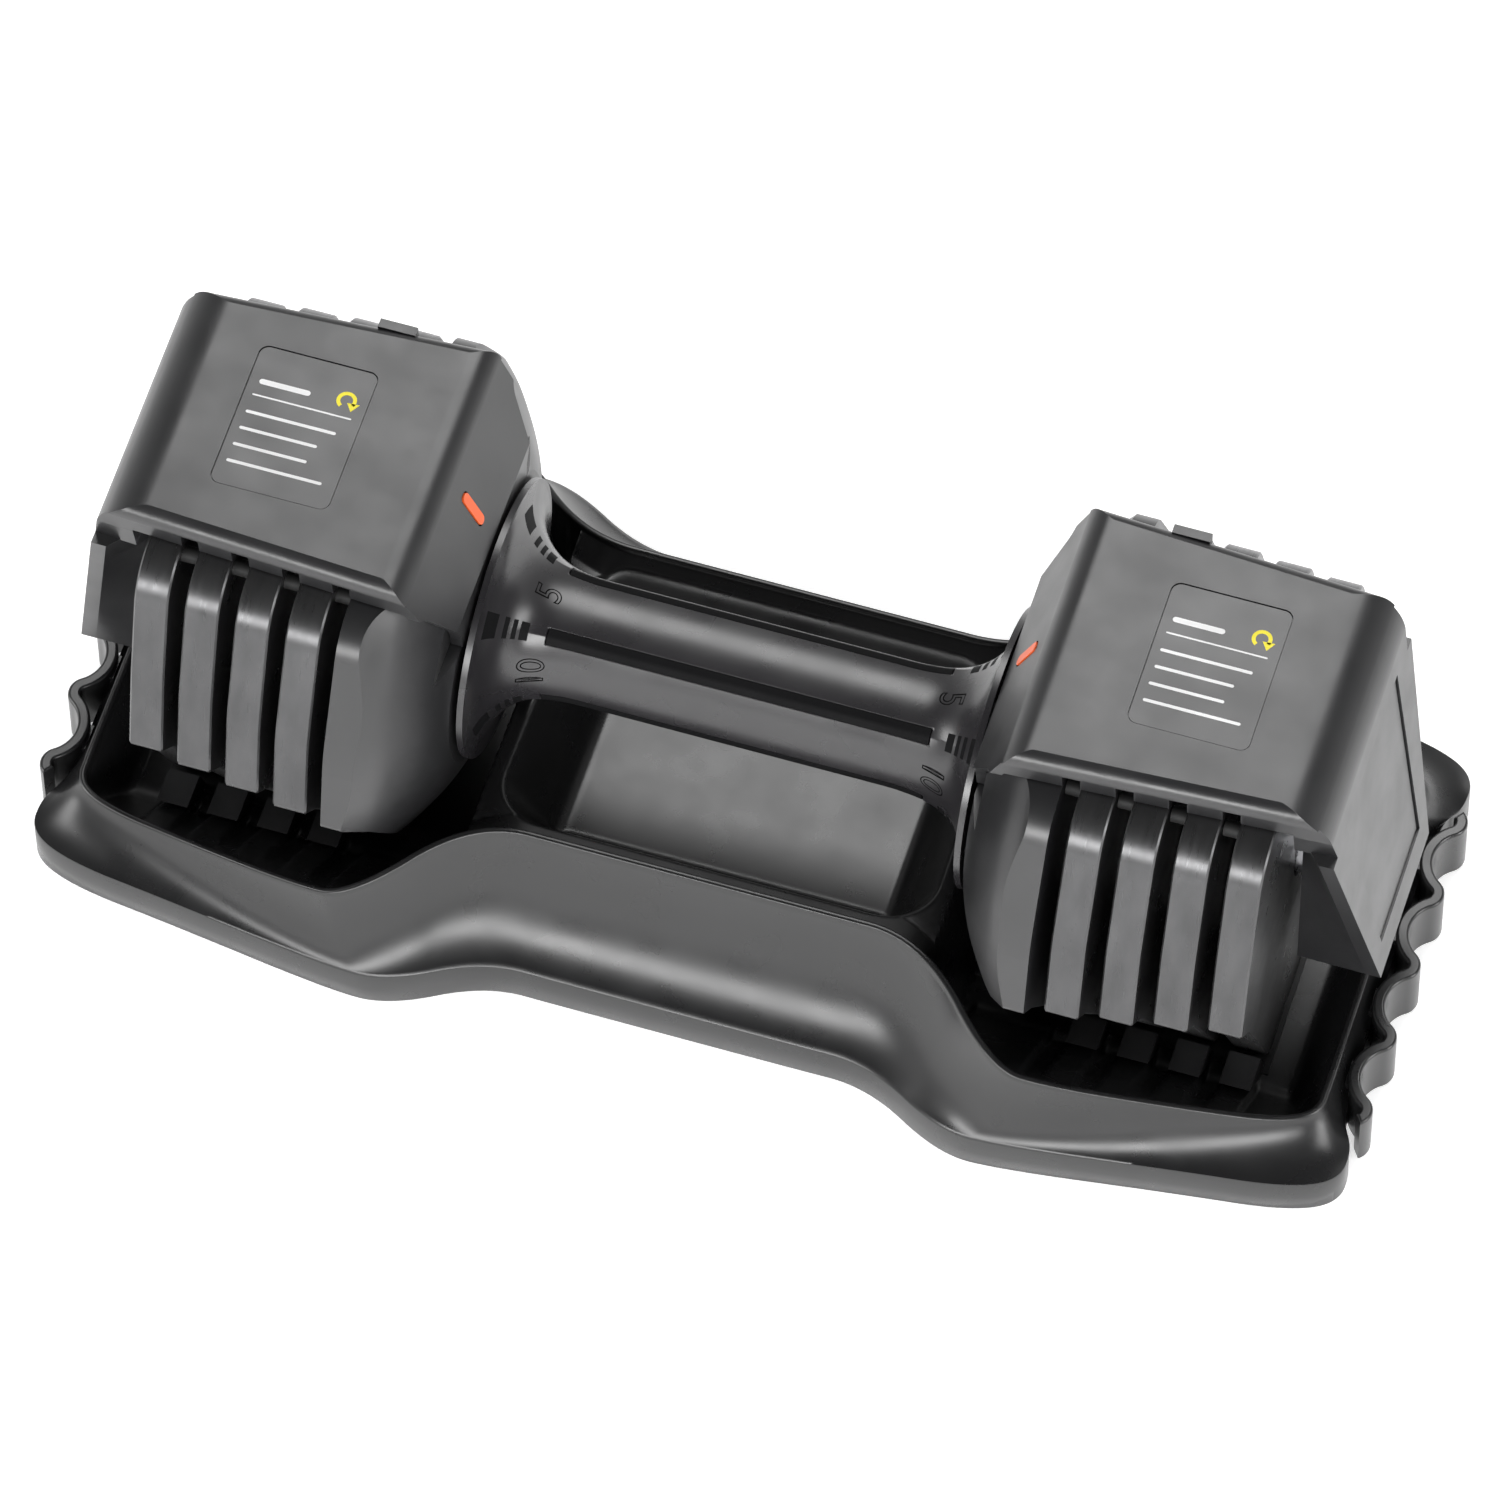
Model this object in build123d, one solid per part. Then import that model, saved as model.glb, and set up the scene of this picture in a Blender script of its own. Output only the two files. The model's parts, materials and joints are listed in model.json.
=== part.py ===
from build123d import *
import math
import os

os.makedirs("parts", exist_ok=True)

# Adjustable dumbbell on its tray.  Millimetres.  +X runs along the handle, +Y to the back,
# +Z up.  The origin is on the floor under the middle of the handle.

# ---- driving dimensions -------------------------------------------------------------------
AXIS_Z = 80.0                  # height of the handle's axis
PLATE_PITCH = 15.0             # from one removable plate to the next
PLATE_THICK = 9.9
PLATE_COUNT = 4                # removable plates on each side
FIRST_PLATE_X = 107.8          # inner face of the innermost removable plate
PLATE_TOP_Z = 138.0
PLATE_FOOT_Z = 8.0
PLATE_HALF_WIDTH = 65.4        # outermost plate; each plate further in is wider
PLATE_STEP = 2.5               # growth of the half width from one plate to the next
GAP = PLATE_PITCH - PLATE_THICK
SLOT_HALF = 13.6               # half width of a plate's open slot
FOOT_HALF = 33.0               # half width of a plate's flat foot
SHOULDER_HALF = 49.5           # outermost plate's shoulder corner; it grows by a share of the width
SHOULDER_SHARE = 0.2

HOUSING_X = (75.3, FIRST_PLATE_X - GAP)   # fixed inner housing, next to the handle
HOUSING_NOSE = ((42.5, 0.0), (54.0, 4.7), (62.0, 9.7), (68.5, 14.7), (73.5, 19.7), (80.0, 23.7))
ROD_R = 8.0
ROD_HALF = 173.0
TUBE_R = 12.0
TUBE_BORE_R = 8.5
TUBE_HALF = 164.6
BUSH_R = 15.0
RUNNING = 0.05                 # radial running clearance of the bushes
FLANGE_R = 40.8
FLANGE_X = 73.7
GRIP_R = 17.7

DIAL_STEPS = 5
DIAL_STEP_DEG = 360 / DIAL_STEPS
RING_R = (30.0, 34.0)          # hooking ring of a selector disc
RING_OPEN_HALF_DEG = 14.0
DISC_WEB = 1.8

HOOD_TOP_Z = 150.5
HOOD_CREASE_Z = 145.2          # where the rounded cap steps back to its upright lip
HOOD_EDGE_Z = 138.8
HOOD_WALL = 3.5
HOOD_END_X = (191.9, 176.4)    # end face: at its foot and at the top
HOOD_FOOT_Z = 53.0
HOOD_INNER_X = 167.6           # inner wall of the end cover

TRAY_FLOOR_Z = 0.8
SKIRT_Z = 14.7
TRAY_TOP_Z = 52.3
TRAY_END_Z = 25.0
WELL_FLOOR_Z = 16.0

SIDES = {"left": -1, "right": 1}


def save(shape, name):
    shape = shape if isinstance(shape, Compound) else Compound(children=list(shape.solids()))
    shape.label = name
    export_step(shape, f"parts/{name}.step")


def group(solids):
    return Compound(children=[s for item in solids for s in item.solids()])


def block(x, y, z):
    """Box from three (low, high) pairs."""
    size = [b - a for a, b in (x, y, z)]
    centre = [(a + b) / 2 for a, b in (x, y, z)]
    return Pos(*centre) * Box(*size)


def rod_x(radius, x0, x1, y=0.0, z=AXIS_Z):
    """Cylinder along X from x0 to x1."""
    low, high = min(x0, x1), max(x0, x1)
    return Pos((low + high) / 2, y, z) * Rot(0, 90, 0) * Cylinder(radius, high - low)


def rod_z(radius, x, y, z0, z1):
    return Pos(x, y, (z0 + z1) / 2) * Cylinder(radius, z1 - z0)


def tube_x(inner, outer, x0, x1, y=0.0, z=AXIS_Z):
    return rod_x(outer, x0, x1, y, z) - rod_x(inner, x0 - 1, x1 + 1, y, z)


def extrude_yz(points, x0, x1):
    """Prism along X over a polygon of (y, z) points, from x0 to x1."""
    face = make_face(Polyline(*[(x0, y, z) for y, z in points], close=True))
    return extrude(face, amount=x1 - x0, dir=(1, 0, 0))


def extrude_xz(points, half_width):
    """Prism along Y over a polygon of (x, z) points, even about y = 0."""
    face = make_face(Polyline(*[(x, -half_width, z) for x, z in points], close=True))
    return extrude(face, amount=2 * half_width, dir=(0, 1, 0))


def mirrored(shape, side):
    return shape if side > 0 else mirror(shape, Plane.YZ)


# ---- plates and inner housings ------------------------------------------------------------

def slab(half_width, x0, thickness):
    """Weight outline: rounded shoulders, a small chamfer, and a wedge down to a flat foot."""
    top_half = SHOULDER_HALF + SHOULDER_SHARE * (half_width - PLATE_HALF_WIDTH)
    outline = [
        (top_half, PLATE_TOP_Z, 16),
        (half_width - 5.5, 99, 50),
        (half_width, 71, 3),
        (half_width - 8.5, 60.5, 3),
        (FOOT_HALF, PLATE_FOOT_Z, 5),
    ]
    right = [(y, z) for y, z, _ in outline]
    points = right + [(-y, z) for y, z in reversed(right)]
    wire = FilletPolyline(*[(x0, y, z) for y, z in points],
                          radius=[r for _, _, r in outline] + [r for _, _, r in reversed(outline)],
                          close=True)
    return extrude(make_face(wire), amount=thickness, dir=(1, 0, 0))


def plate_half_width(k):
    return PLATE_HALF_WIDTH + PLATE_STEP * (PLATE_COUNT - k)


def plate_x(k):
    return FIRST_PLATE_X + PLATE_PITCH * (k - 1)


TAB_HALF = 5.0
TAB_R = (22.0, 29.0)
TAB_REACH = 2.2


def plate(k):
    """Steel plate with a slot open at the top and a lifting tab on its inner face."""
    x0 = plate_x(k)
    body = slab(plate_half_width(k), x0, PLATE_THICK)
    body -= block((x0 - 1, x0 + PLATE_THICK + 1), (-SLOT_HALF, SLOT_HALF), (AXIS_Z, PLATE_TOP_Z + 5))
    body -= rod_x(SLOT_HALF, x0 - 1, x0 + PLATE_THICK + 1)
    body = chamfer(body.edges().filter_by(GeomType.LINE).filter_by(
        lambda e: abs(e.tangent_at(0).X) < 0.01 and abs(e.center().Y) > 30), 0.5)
    tab = block((x0 - TAB_REACH, x0 + 1), (-TAB_HALF, TAB_HALF), (AXIS_Z - TAB_R[1], AXIS_Z - TAB_R[0]))
    return body + tab


PEG_YZ = (37.2, 133.5)
PEG_R = 2.4
PEG_CLEAR = 0.5


def spacer_pegs(k):
    """Bumper pegs on the inner face of plate k, one near each shoulder."""
    x1 = plate_x(k)
    y, z = PEG_YZ
    return [rod_x(PEG_R, x1 - GAP + PEG_CLEAR, x1, s * y, z) for s in (-1, 1)]


for k in range(1, PLATE_COUNT + 1):
    for name, side in SIDES.items():
        save(mirrored(plate(k), side), f"plate_{name}_{k}")
    pegs = [mirrored(p, side) for side in SIDES.values() for p in spacer_pegs(k)]
    save(group(pegs), f"spacer_pegs_{k}")

HOUSING_HALF_WIDTH = plate_half_width(0)
TONGUE_FOOT = (74.8, 121.6)    # foot of the hood's inner wall, (x, z)
TONGUE_TOP_X = 88.2
TONGUE_LOW_Z = 108.0
TONGUE_SLOPE = (TONGUE_TOP_X - TONGUE_FOOT[0]) / (HOOD_TOP_Z - TONGUE_FOOT[1])


def tongue_x(z, inset):
    """x of the hood's inner wall at height z, moved inwards by inset."""
    return TONGUE_FOOT[0] + TONGUE_SLOPE * (z - TONGUE_FOOT[1]) + inset


SCREW_Y = 22.0
SCREW_Z = 131.0
SCREW_R = 2.0
SCREW_HEAD_R = 3.6
SCREW_HEAD = 2.4


DETENT_X = 96.0
BALL_R = 2.4
COLLAR_R = 17.5
COLLAR_HALF = 3.6
COLLAR_BORE_R = 18.2


def inner_housing():
    """Housing fixed to the frame, in the shape of a thick plate with a rounded nose towards the flange."""
    x0, x1 = HOUSING_X
    body = slab(HOUSING_HALF_WIDTH, x0, x1 - x0)
    nose = Spline(*[(x0 + depth, 0, AXIS_Z + radius) for radius, depth in HOUSING_NOSE])
    rest = Polyline(nose @ 1, (x1 - 1, 0, AXIS_Z + 110), (x1 + 1, 0, AXIS_Z + 110), (x1 + 1, 0, AXIS_Z),
                    (x0, 0, AXIS_Z), nose @ 0)
    body &= revolve(make_face([nose, rest]), Axis((0, 0, AXIS_Z), (1, 0, 0)), 360)
    room = HOOD_WALL + 0.4
    relief = extrude_xz([(60, TONGUE_LOW_Z - 0.5), (TONGUE_FOOT[0] + room, TONGUE_LOW_Z - 0.5),
                         (TONGUE_FOOT[0] + room, TONGUE_FOOT[1]), (tongue_x(160, room), 160), (60, 160)], 45)
    body -= relief
    body -= rod_x(BUSH_R, x0 - 5, x1 + 5)
    body -= rod_x(COLLAR_BORE_R, DETENT_X - COLLAR_HALF - 0.8, x1 + 5)
    for s in (-1, 1):
        body -= rod_x(SCREW_R + 0.1, x0, x1 + 1, s * SCREW_Y, SCREW_Z)
        body -= rod_x(SCREW_HEAD_R + 0.2, x1 - SCREW_HEAD - 0.4, x1 + 1, s * SCREW_Y, SCREW_Z)
    body -= rod_z(BALL_R + 0.15, DETENT_X, 0, AXIS_Z - 60, AXIS_Z)
    return body


# ---- rod, selector tube, bushes, detent ---------------------------------------------------
def detent_collar():
    """Collar on the selector tube with one notch for each dial setting."""
    collar = tube_x(TUBE_R, COLLAR_R, DETENT_X - COLLAR_HALF, DETENT_X + COLLAR_HALF)
    for i in range(DIAL_STEPS):
        notch = Pos(DETENT_X, 0, AXIS_Z - COLLAR_R - 0.9) * Sphere(BALL_R)
        collar -= notch.rotate(Axis((0, 0, AXIS_Z), (1, 0, 0)), i * DIAL_STEP_DEG)
    return collar


def detent_spring():
    """Compression spring under the detent ball."""
    top = AXIS_Z - COLLAR_R - 0.3 - 2 * BALL_R
    length = 14.0
    path = Helix(pitch=2.8, height=length, radius=1.7)
    section = Plane(origin=path @ 0, z_dir=path % 0) * Circle(0.35)
    coil = sweep(section, path)
    return Pos(DETENT_X, 0, top - length - 0.4) * coil


def core_rod():
    body = rod_x(ROD_R, -ROD_HALF, ROD_HALF)
    return chamfer(body.edges().filter_by(GeomType.CIRCLE), 1.0)


def selector_tube():
    return tube_x(TUBE_BORE_R, TUBE_R, -TUBE_HALF, TUBE_HALF)


def bush():
    """Flanged bearing bush pressed into the inner housing; the selector tube turns in it."""
    body = tube_x(TUBE_R + RUNNING, BUSH_R, HOUSING_X[0], DETENT_X - COLLAR_HALF - 1.2)
    return body


def selector_disc(k):
    """Disc in the gap inside plate k.  Its ring hooks under the plate's tab, and is open
    at every dial setting that leaves plate k in the tray."""
    web_x = plate_x(k) - GAP + 0.55
    ring_x = web_x + DISC_WEB + 2.2
    disc = tube_x(TUBE_R, RING_R[1], web_x, web_x + DISC_WEB)
    ring = tube_x(RING_R[0], RING_R[1], web_x + DISC_WEB - 0.2, ring_x)
    reach = RING_R[1] + 8
    for i in range(k):
        spread = math.tan(math.radians(RING_OPEN_HALF_DEG)) * reach
        wedge = extrude_yz([(0, AXIS_Z), (-spread, AXIS_Z - reach), (spread, AXIS_Z - reach)],
                           web_x + DISC_WEB, ring_x + 1)
        ring -= wedge.rotate(Axis((0, 0, AXIS_Z), (1, 0, 0)), i * DIAL_STEP_DEG)
    for i in range(DIAL_STEPS):
        angle = math.radians(DIAL_STEP_DEG * (i + 0.5))
        disc -= rod_x(4.0, web_x - 1, web_x + DISC_WEB + 0.1, 21 * math.sin(angle), AXIS_Z - 21 * math.cos(angle))
    return disc + ring


save(core_rod(), "core_rod")
save(selector_tube(), "selector_tube")
for name, side in SIDES.items():
    save(mirrored(inner_housing(), side), f"inner_housing_{name}")
    save(mirrored(bush(), side), f"bush_{name}")
    save(mirrored(detent_collar(), side), f"detent_collar_{name}")
    ball = Pos(DETENT_X, 0, AXIS_Z - COLLAR_R - 0.3 - BALL_R) * Sphere(BALL_R)
    save(mirrored(ball, side), f"detent_ball_{name}")
    save(mirrored(detent_spring(), side), f"detent_spring_{name}")
    for k in range(1, PLATE_COUNT + 1):
        save(mirrored(selector_disc(k), side), f"selector_disc_{name}_{k}")

# ---- grip ---------------------------------------------------------------------------------
STRIP_ANGLES = [54 + DIAL_STEP_DEG * i for i in range(DIAL_STEPS)]   # from the back, upwards
STRIP_HALF = 56.0
STRIP_WIDTH = 4.4
STRIP_DEPTH = 2.0
RIM_X = 71.9


def grip_profile():
    """Half profile of the grip, from its middle out to the flange, as a spline of (x, r)."""
    return [(0, GRIP_R), (30, GRIP_R - 0.1), (50, 17.4), (60, 19.0), (67, 24.2), (70.6, 31.5), (RIM_X, FLANGE_R - 1)]


def grip():
    half = grip_profile()
    points = [(-x, r) for x, r in reversed(half)] + half[1:]
    top = Spline(*[(x, 0, AXIS_Z + r) for x, r in points])
    bore = TUBE_R
    ends = Polyline((RIM_X, 0, AXIS_Z + FLANGE_R - 1), (RIM_X, 0, AXIS_Z + bore),
                    (-RIM_X, 0, AXIS_Z + bore), (-RIM_X, 0, AXIS_Z + FLANGE_R - 1))
    body = revolve(make_face([top, ends]), Axis((0, 0, AXIS_Z), (1, 0, 0)), 360)
    for angle in STRIP_ANGLES:
        body -= strip(angle, 0.0)
    return body


def strip(angle, clearance):
    """Inset strip along the grip, on a seam between two facets."""
    y0 = GRIP_R - STRIP_DEPTH + clearance
    bar = block((-STRIP_HALF + clearance, STRIP_HALF - clearance),
                (-STRIP_WIDTH / 2 + clearance, STRIP_WIDTH / 2 - clearance),
                (y0, GRIP_R - 0.25 if clearance else GRIP_R + 8))
    return Pos(0, 0, AXIS_Z) * Rot(90 - angle + 180, 0, 0) * bar


def flange_ring():
    """Thin bright rim at the end of the grip's flare."""
    return tube_x(TUBE_R, FLANGE_R, RIM_X, FLANGE_X)


save(grip(), "grip")
save(group([strip(a, 0.05) for a in STRIP_ANGLES]), "grip_strips")
for name, side in SIDES.items():
    save(mirrored(flange_ring(), side), f"flange_ring_{name}")

# ---- hoods --------------------------------------------------------------------------------
END_SLOPE = (HOOD_END_X[1] - HOOD_END_X[0]) / (HOOD_TOP_Z - HOOD_FOOT_Z)
END_HALF = (24.7, 41.0)        # half widths of the end face: at its foot and at the top
PANEL_Z = (64.0, 130.0)
PANEL_HALF = (18.6, 24.6)
PANEL_DEPTH = 2.2
LABEL_X = (115.0, 150.0)
LABEL_Y = (-22.6, 24.7)
LABEL_DEPTH = 0.8
MARKER_Z = 133.7
MARKER_LENGTH = 12.6
MARKER_WIDTH = 3.2
MARKER_GROOVE = 0.35           # open groove round the marker
LABEL_CORNER_R = 3.0
LABEL_GROOVE = 0.3


def end_x(z):
    return HOOD_END_X[0] + END_SLOPE * (z - HOOD_FOOT_Z)


def end_slice(z_low, z_high, half_low, half_high, depth_in, depth_out):
    """Slab parallel to the end face: a trapezoid between two heights and two depths."""
    side = extrude_xz([(end_x(z_low) - depth_in, z_low), (end_x(z_low) - depth_out, z_low),
                       (end_x(z_high) - depth_out, z_high), (end_x(z_high) - depth_in, z_high)], 60)
    front = extrude_yz([(-half_low, z_low), (half_low, z_low), (half_high, z_high), (-half_high, z_high)],
                       150, 210)
    return side & front


HOOD_HALF = (44.6, 37.0)       # half widths of the cap at x = HOOD_TAPER_X
HOOD_TAPER_X = (60.0, 200.0)
LIP_STEP = 0.9
POCKET_HALF = 35.5
CLIP_X = (110.0, 121.0)        # moulded clip on the back edge
CLIP_Y = (39.8, 42.6)


def hood_sides(side):
    """One side of the cap: its cross-section, swept along the line that narrows it."""
    half, foot = HOOD_HALF[0], 100
    corners = [(-20, HOOD_TOP_Z + 0.5, 1), (half, HOOD_TOP_Z + 0.03, 4.5), (half - 0.2, HOOD_CREASE_Z, 0.2),
               (half - LIP_STEP, HOOD_CREASE_Z, 0.1), (half - LIP_STEP - 0.6, HOOD_EDGE_Z - 1, 0.2), (36, foot, 1),
               (-20, foot, 1)]
    wire = FilletPolyline(*[(HOOD_TAPER_X[0], side * y, z) for y, z, _ in corners],
                          radius=[r for _, _, r in corners], close=True)
    run = Vector(HOOD_TAPER_X[1] - HOOD_TAPER_X[0], side * (HOOD_HALF[1] - HOOD_HALF[0]), 0)
    return extrude(make_face(wire), amount=run.length, dir=run.normalized())


def cheek_cut(s):
    """What is cut away beside the hood's inner wall: its edge sweeps down and inwards in an S."""
    corners = [(28, 100, 0.2), (29.5, 115, 18), (41.0, HOOD_EDGE_Z, 9), (60, HOOD_EDGE_Z, 0.2), (60, 100, 0.2)]
    wire = FilletPolyline(*[(HOOD_TAPER_X[0], s * y, z) for y, z, _ in corners],
                          radius=[r for _, _, r in corners], close=True)
    return extrude(make_face(wire), amount=38, dir=(1, 0, 0))


def cover_level(z, inner_half, outer_half):
    """Level section of the end cover: narrow at the plates, full width over its outer rim."""
    rim_x = end_x(z) - COVER_RIM
    return make_face(Polyline((HOOD_INNER_X, -inner_half, z), (rim_x, -outer_half, z), (end_x(z), -outer_half, z),
                              (end_x(z), outer_half, z), (rim_x, outer_half, z), (HOOD_INNER_X, inner_half, z),
                              close=True))


def end_half(z):
    """Half width of the end face at height z."""
    return END_HALF[0] + (END_HALF[1] - END_HALF[0]) * (z - HOOD_FOOT_Z) / (140 - HOOD_FOOT_Z)


COVER_RIM = 4.4                # thickness of the cover's upright rim
COVER_KINK_Z = 116.0           # above this the cover's inner edge widens out to the cap
CAP_FOOT_Z = 128.0


def hood():
    """Cap over the plates with a sloping inner wall and an end cover that hangs to the foot."""
    profile = FilletPolyline(
        *[(x, -60, z) for x, z in (TONGUE_FOOT, (TONGUE_TOP_X, HOOD_TOP_Z), (HOOD_END_X[1], HOOD_TOP_Z),
                                   (end_x(CAP_FOOT_Z), CAP_FOOT_Z), (HOOD_INNER_X, CAP_FOOT_Z),
                                   (HOOD_INNER_X, HOOD_EDGE_Z), (tongue_x(HOOD_EDGE_Z, HOOD_WALL), HOOD_EDGE_Z),
                                   (TONGUE_FOOT[0] + HOOD_WALL, TONGUE_FOOT[1]),
                                   (TONGUE_FOOT[0] + HOOD_WALL, TONGUE_LOW_Z),
                                   (TONGUE_FOOT[0], TONGUE_LOW_Z))],
        radius=[0.3, 9, 16, 0.3, 0.3, 0.3, 0.3, 0.3, 0.3, 0.3], close=True)
    body = extrude(make_face(profile), amount=120, dir=(0, 1, 0))
    body &= hood_sides(1) + hood_sides(-1)
    for s in (-1, 1):
        body -= cheek_cut(s)
        for k in range(1, PLATE_COUNT + 1):
            body -= block((plate_x(k) - GAP, plate_x(k)), (min(s * POCKET_HALF, s * 60), max(s * POCKET_HALF, s * 60)),
                          (HOOD_EDGE_Z - 1, HOOD_CREASE_Z - 0.4))
    body += loft([cover_level(HOOD_FOOT_Z, 24.6, END_HALF[0]),
                  cover_level(COVER_KINK_Z, 25.0, end_half(COVER_KINK_Z))], ruled=True)
    body += loft([cover_level(COVER_KINK_Z, 25.0, end_half(COVER_KINK_Z)),
                  cover_level(CAP_FOOT_Z + 1, 30.0, end_half(CAP_FOOT_Z + 1))], ruled=True)
    body -= block((100, HOOD_INNER_X - 3), (-POCKET_HALF, POCKET_HALF), (HOOD_EDGE_Z - 1, HOOD_TOP_Z - 2.6))
    body += block(CLIP_X, CLIP_Y, (HOOD_TOP_Z - 4.5, HOOD_TOP_Z - 0.2))
    body -= end_slice(PANEL_Z[0] - 0.8, PANEL_Z[1] + 0.8, PANEL_HALF[0] + 0.8, PANEL_HALF[1] + 0.8, PANEL_DEPTH, -6)
    body -= rod_x(ROD_R + 0.1, HOOD_INNER_X - 1, NUT_X[0] + 1)
    body -= rod_x(NUT_R + 0.4, NUT_X[0], 200)
    body -= label_block(0.0, (HOOD_TOP_Z - LABEL_DEPTH, HOOD_TOP_Z + 2))
    body -= marker(MARKER_GROOVE)
    for s in (-1, 1):
        body -= rod_x(SCREW_R + 0.1, 80.4, 90, s * SCREW_Y, SCREW_Z)
    return body


def marker(grow):
    """Index marker set into the hood's inner wall, lying down the slope."""
    slope = math.degrees(math.atan2(TONGUE_SLOPE, 1))
    bar = Box(1.6, MARKER_WIDTH + 2 * grow, MARKER_LENGTH + 2 * grow)
    bar = fillet(bar.edges().filter_by(Axis.X), MARKER_WIDTH / 2 - 0.1)
    return Pos(tongue_x(MARKER_Z, 0.5), 0, MARKER_Z) * Rot(0, slope, 0) * bar


NUT_R = 11.0
NUT_X = (172.0, 178.5)


def end_nut():
    hexagon = Plane(origin=(NUT_X[0] + 1.0, 0, AXIS_Z), x_dir=(0, 1, 0), z_dir=(1, 0, 0)) * RegularPolygon(10.0, 6)
    return extrude(hexagon, amount=NUT_X[1] - NUT_X[0] - 1.0) - rod_x(ROD_R, 160, 200)


def end_washer():
    return tube_x(ROD_R, NUT_R, NUT_X[0], NUT_X[0] + 1.0)


def thrust_washer():
    return tube_x(ROD_R, 13.0, TUBE_HALF + 0.5, HOOD_INNER_X)


def end_panel():
    return end_slice(PANEL_Z[0], PANEL_Z[1], PANEL_HALF[0], PANEL_HALF[1], PANEL_DEPTH, 0.6)


def label_block(inset, z):
    """Upright block over the label's rounded outline, moved inwards by inset."""
    body = block((LABEL_X[0] + inset, LABEL_X[1] - inset), (LABEL_Y[0] + inset, LABEL_Y[1] - inset), z)
    return fillet(body.edges().filter_by(Axis.Z), LABEL_CORNER_R - inset)


def label_plate():
    return label_block(LABEL_GROOVE, (HOOD_TOP_Z - LABEL_DEPTH, HOOD_TOP_Z - 0.3))


def hood_screws():
    x1 = HOUSING_X[1]
    parts = []
    for s in (-1, 1):
        shank = rod_x(SCREW_R, 80.8, x1 - SCREW_HEAD, s * SCREW_Y, SCREW_Z)
        head = rod_x(SCREW_HEAD_R, x1 - SCREW_HEAD - 0.2, x1 - 0.3, s * SCREW_Y, SCREW_Z)
        parts.append(shank + head)
    return parts


for name, side in SIDES.items():
    save(mirrored(hood(), side), f"hood_{name}")
    save(mirrored(end_panel(), side), f"end_panel_{name}")
    save(mirrored(label_plate(), side), f"label_plate_{name}")
    save(mirrored(marker(0.0), side), f"index_marker_{name}")
    save(mirrored(end_nut(), side), f"end_nut_{name}")
    save(group([mirrored(end_washer(), side), mirrored(thrust_washer(), side)]), f"washers_{name}")
    save(group([mirrored(s, side) for s in hood_screws()]), f"hood_screws_{name}")

# ---- tray ---------------------------------------------------------------------------------


def outline(quarter, z):
    """Closed outline, even about both axes, from the corners (x, y, radius) of one quadrant."""
    back = quarter[::-1]
    loop = (quarter + [(x, -y, r) for x, y, r in back] + [(-x, -y, r) for x, y, r in quarter]
            + [(-x, y, r) for x, y, r in back])
    wire = FilletPolyline(*[(x, y, z) for x, y, _ in loop], radius=[r for _, _, r in loop], close=True)
    return make_face(wire)


def tray_shell():
    base = [(40, 72.8, 60), (86, 88.0, 50), (194.5, 74.0, 24)]
    crown = [(52, 50.5, 30), (86, 74.5, 30), (160, 24.0, 12)]
    skirt = extrude(outline(base, TRAY_FLOOR_Z), amount=SKIRT_Z - TRAY_FLOOR_Z, dir=(0, 0, 1))
    slope = loft([outline(base, SKIRT_Z), outline(crown, TRAY_TOP_Z)], ruled=True)
    body = skirt + slope
    saddle = [(-200, TRAY_END_Z - 1), (-185, TRAY_END_Z), (-100, 41.5), (-58, TRAY_TOP_Z), (58, TRAY_TOP_Z),
              (100, 41.5), (185, TRAY_END_Z), (200, TRAY_END_Z - 1)]
    cap_face = make_face(Polyline(*[(x, -120, z) for x, z in saddle + [(200, 90), (-200, 90)]], close=True))
    body -= extrude(cap_face, amount=240, dir=(0, 1, 0))
    for side in SIDES.values():
        body -= mirrored(head_cavity(), side)
    body -= hand_well()
    for side in SIDES.values():
        body -= mirrored(block((BAND_SEAT_X, 200), (-BAND_HALF, BAND_HALF), (BAND_Z[0], TRAY_TOP_Z)), side)
    for foot in rubber_feet():
        body -= foot
    for sx in (-1, 1):
        for sy in (-1, 1):
            x, y = sx * SCREW_XY[0], sy * SCREW_XY[1]
            body -= rod_z(1.7, x, y, 0, CAVITY_FLOOR_Z + 1)
            body -= rod_z(3.4, x, y, 0, 2.7)
    return body


CAVITY_X = (66.0, 174.0)
CAVITY_FLOOR_Z = 5.0
CAVITY_HALF = 39.0
CAVITY_RISE = 34.0             # y of the cavity's long wall is its height plus this


def head_cavity():
    """Room in the tray for one head: long walls at 45 degrees, end walls steeper."""
    top = 60.0
    low = [(CAVITY_X[0], -CAVITY_HALF), (CAVITY_X[1], -CAVITY_HALF), (CAVITY_X[1], CAVITY_HALF),
           (CAVITY_X[0], CAVITY_HALF)]
    high_y = top + CAVITY_RISE
    high = [(CAVITY_X[0] - 8, -high_y), (CAVITY_X[1] + 20, -high_y), (CAVITY_X[1] + 20, high_y),
            (CAVITY_X[0] - 8, high_y)]
    return loft([make_face(Polyline(*[(x, y, CAVITY_FLOOR_Z) for x, y in low], close=True)),
                 make_face(Polyline(*[(x, y, top) for x, y in high], close=True))], ruled=True)


def hand_well():
    """Rounded well under the grip for the fingers."""
    top = make_face(FilletPolyline(*[(x, y, 60) for x, y in ((-68, -46), (68, -46), (68, 46), (-68, 46))],
                                   radius=14, close=True))
    low = make_face(FilletPolyline(*[(x, y, WELL_FLOOR_Z) for x, y in ((-58, -33), (58, -33), (58, 33), (-58, 33))],
                                   radius=14, close=True))
    return loft([low, top], ruled=True)



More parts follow.
